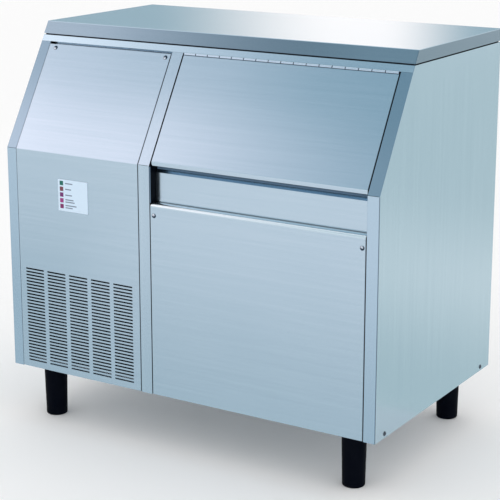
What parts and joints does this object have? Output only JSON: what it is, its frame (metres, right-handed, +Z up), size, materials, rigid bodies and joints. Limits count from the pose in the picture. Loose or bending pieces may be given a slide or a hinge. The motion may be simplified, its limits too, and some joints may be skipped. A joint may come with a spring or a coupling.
{
  "type": "ice machine",
  "caption": "Free-standing flake ice machine with a machine bay behind a slotted panel, an insulated ice bin, a sloping hinged bin door and adjustable legs.",
  "frame": {"origin": "on the floor, under the middle of the cabinet", "axes": "+X to the machine's right as seen from the front, +Y to the back, +Z up; the front with the bin door faces -Y"},
  "size_m": [0.955, 0.5811, 0.913],
  "materials": {
    "brushed_skin": "brushed stainless sheet",
    "steel_part": "plain steel",
    "zinc_sheet": "galvanised sheet",
    "hinge_steel": "bright rolled steel",
    "screw_steel": "bright steel",
    "dark_screw": "dark steel",
    "black_plastic": "black moulded plastic",
    "white_plastic": "white moulded plastic",
    "label_white": "white printed overlay",
    "lens_colour": "coloured clear plastic",
    "foam": "rigid foam",
    "black_foam": "black closed-cell foam",
    "gasket_rubber": "soft rubber",
    "grey_rubber": "rubber",
    "black_paint": "black enamel",
    "grey_cast": "painted casting",
    "copper_tube": "bare copper",
    "brass_part": "machined brass",
    "fin_metal": "thin aluminium fins",
    "board_green": "green laminate"
  },
  "bodies": {
    "cabinet": {"worktop": "brushed_skin", "worktop_seal": "gasket_rubber", "left_side_panel": "brushed_skin", "right_side_panel": "brushed_skin", "back_panel": "zinc_sheet", "header_rail": "brushed_skin", "middle_front_post": "brushed_skin", "left_service_panel": "brushed_skin", "lower_front_panel": "brushed_skin", "bin_front_skin": "brushed_skin", "bin_opening_frame": "black_plastic", "bin_liner": "white_plastic", "bin_insulation": "foam", "bin_partition": "zinc_sheet", "bin_drain_tube": "white_plastic", "base_pan": "zinc_sheet", "leg_mounting_plates": "steel_part", "hinge_frame_leaf": "hinge_steel", "hinge_pin": "hinge_steel", "front_panel_screws": "screw_steel", "casing_screws": "dark_screw", "status_label": "label_white", "status_light_lenses": "lens_colour", "indicator_board": "board_green", "compressor": "black_paint", "compressor_grommets": "grey_rubber", "condenser_coil": "fin_metal", "fan_shroud": "zinc_sheet", "fan_motor": "black_paint", "freezing_barrel": "steel_part", "barrel_insulation": "black_foam", "ice_breaker_head": "brass_part", "gearbox": "grey_cast", "drive_motor": "black_paint", "ice_spout": "white_plastic", "float_tank": "white_plastic", "float_tank_lid": "white_plastic", "water_feed_hose": "grey_rubber", "control_box": "zinc_sheet", "control_box_cover": "zinc_sheet", "control_board": "board_green", "filter_drier": "copper_tube", "suction_line": "copper_tube", "discharge_line": "copper_tube", "liquid_line": "copper_tube", "water_inlet": "brass_part", "drain_outlet": "white_plastic", "cable_gland": "black_plastic"},
    "bin_door": {"bin_door_skin": "brushed_skin", "bin_door_liner": "white_plastic", "bin_door_foam": "foam", "door_gasket": "gasket_rubber", "hinge_door_leaf": "hinge_steel"},
    "fan": {"fan_blade": "fin_metal"},
    "ice_auger": {"auger": "steel_part"},
    "tank_float": {"water_float": "white_plastic"},
    "foot_front_left": {"leg_front_left": "black_plastic"},
    "foot_front_right": {"leg_front_right": "black_plastic"},
    "foot_rear_left": {"leg_rear_left": "black_plastic"},
    "foot_rear_right": {"leg_rear_right": "black_plastic"}
  },
  "joints": [
    {"name": "bin_door_hinge", "type": "hinge", "parent": "cabinet", "child": "bin_door", "pos_m": [0, -0.15424, 0.86728], "axis": [-1, 0, 0], "range_deg": [0, 170]},
    {"name": "fan_spin", "type": "hinge", "parent": "cabinet", "child": "fan", "pos_m": [-0.283, -0.134, 0.251], "axis": [0, 1, 0], "continuous": true},
    {"name": "auger_spin", "type": "hinge", "parent": "cabinet", "child": "ice_auger", "pos_m": [-0.195, 0.112, 0.46], "axis": [0, 0, 1], "continuous": true},
    {"name": "float_arm", "type": "hinge", "parent": "cabinet", "child": "tank_float", "pos_m": [-0.365, 0.2248, 0.616], "axis": [1, 0, 0], "range_deg": [0, 12]},
    {"name": "front_left_leg_travel", "type": "slide", "parent": "cabinet", "child": "foot_front_left", "axis": [0, 0, -1], "range_m": [0, 0.02]},
    {"name": "front_right_leg_travel", "type": "slide", "parent": "cabinet", "child": "foot_front_right", "axis": [0, 0, -1], "range_m": [0, 0.02]},
    {"name": "rear_left_leg_travel", "type": "slide", "parent": "cabinet", "child": "foot_rear_left", "axis": [0, 0, -1], "range_m": [0, 0.02]},
    {"name": "rear_right_leg_travel", "type": "slide", "parent": "cabinet", "child": "foot_rear_right", "axis": [0, 0, -1], "range_m": [0, 0.02]}
  ]
}
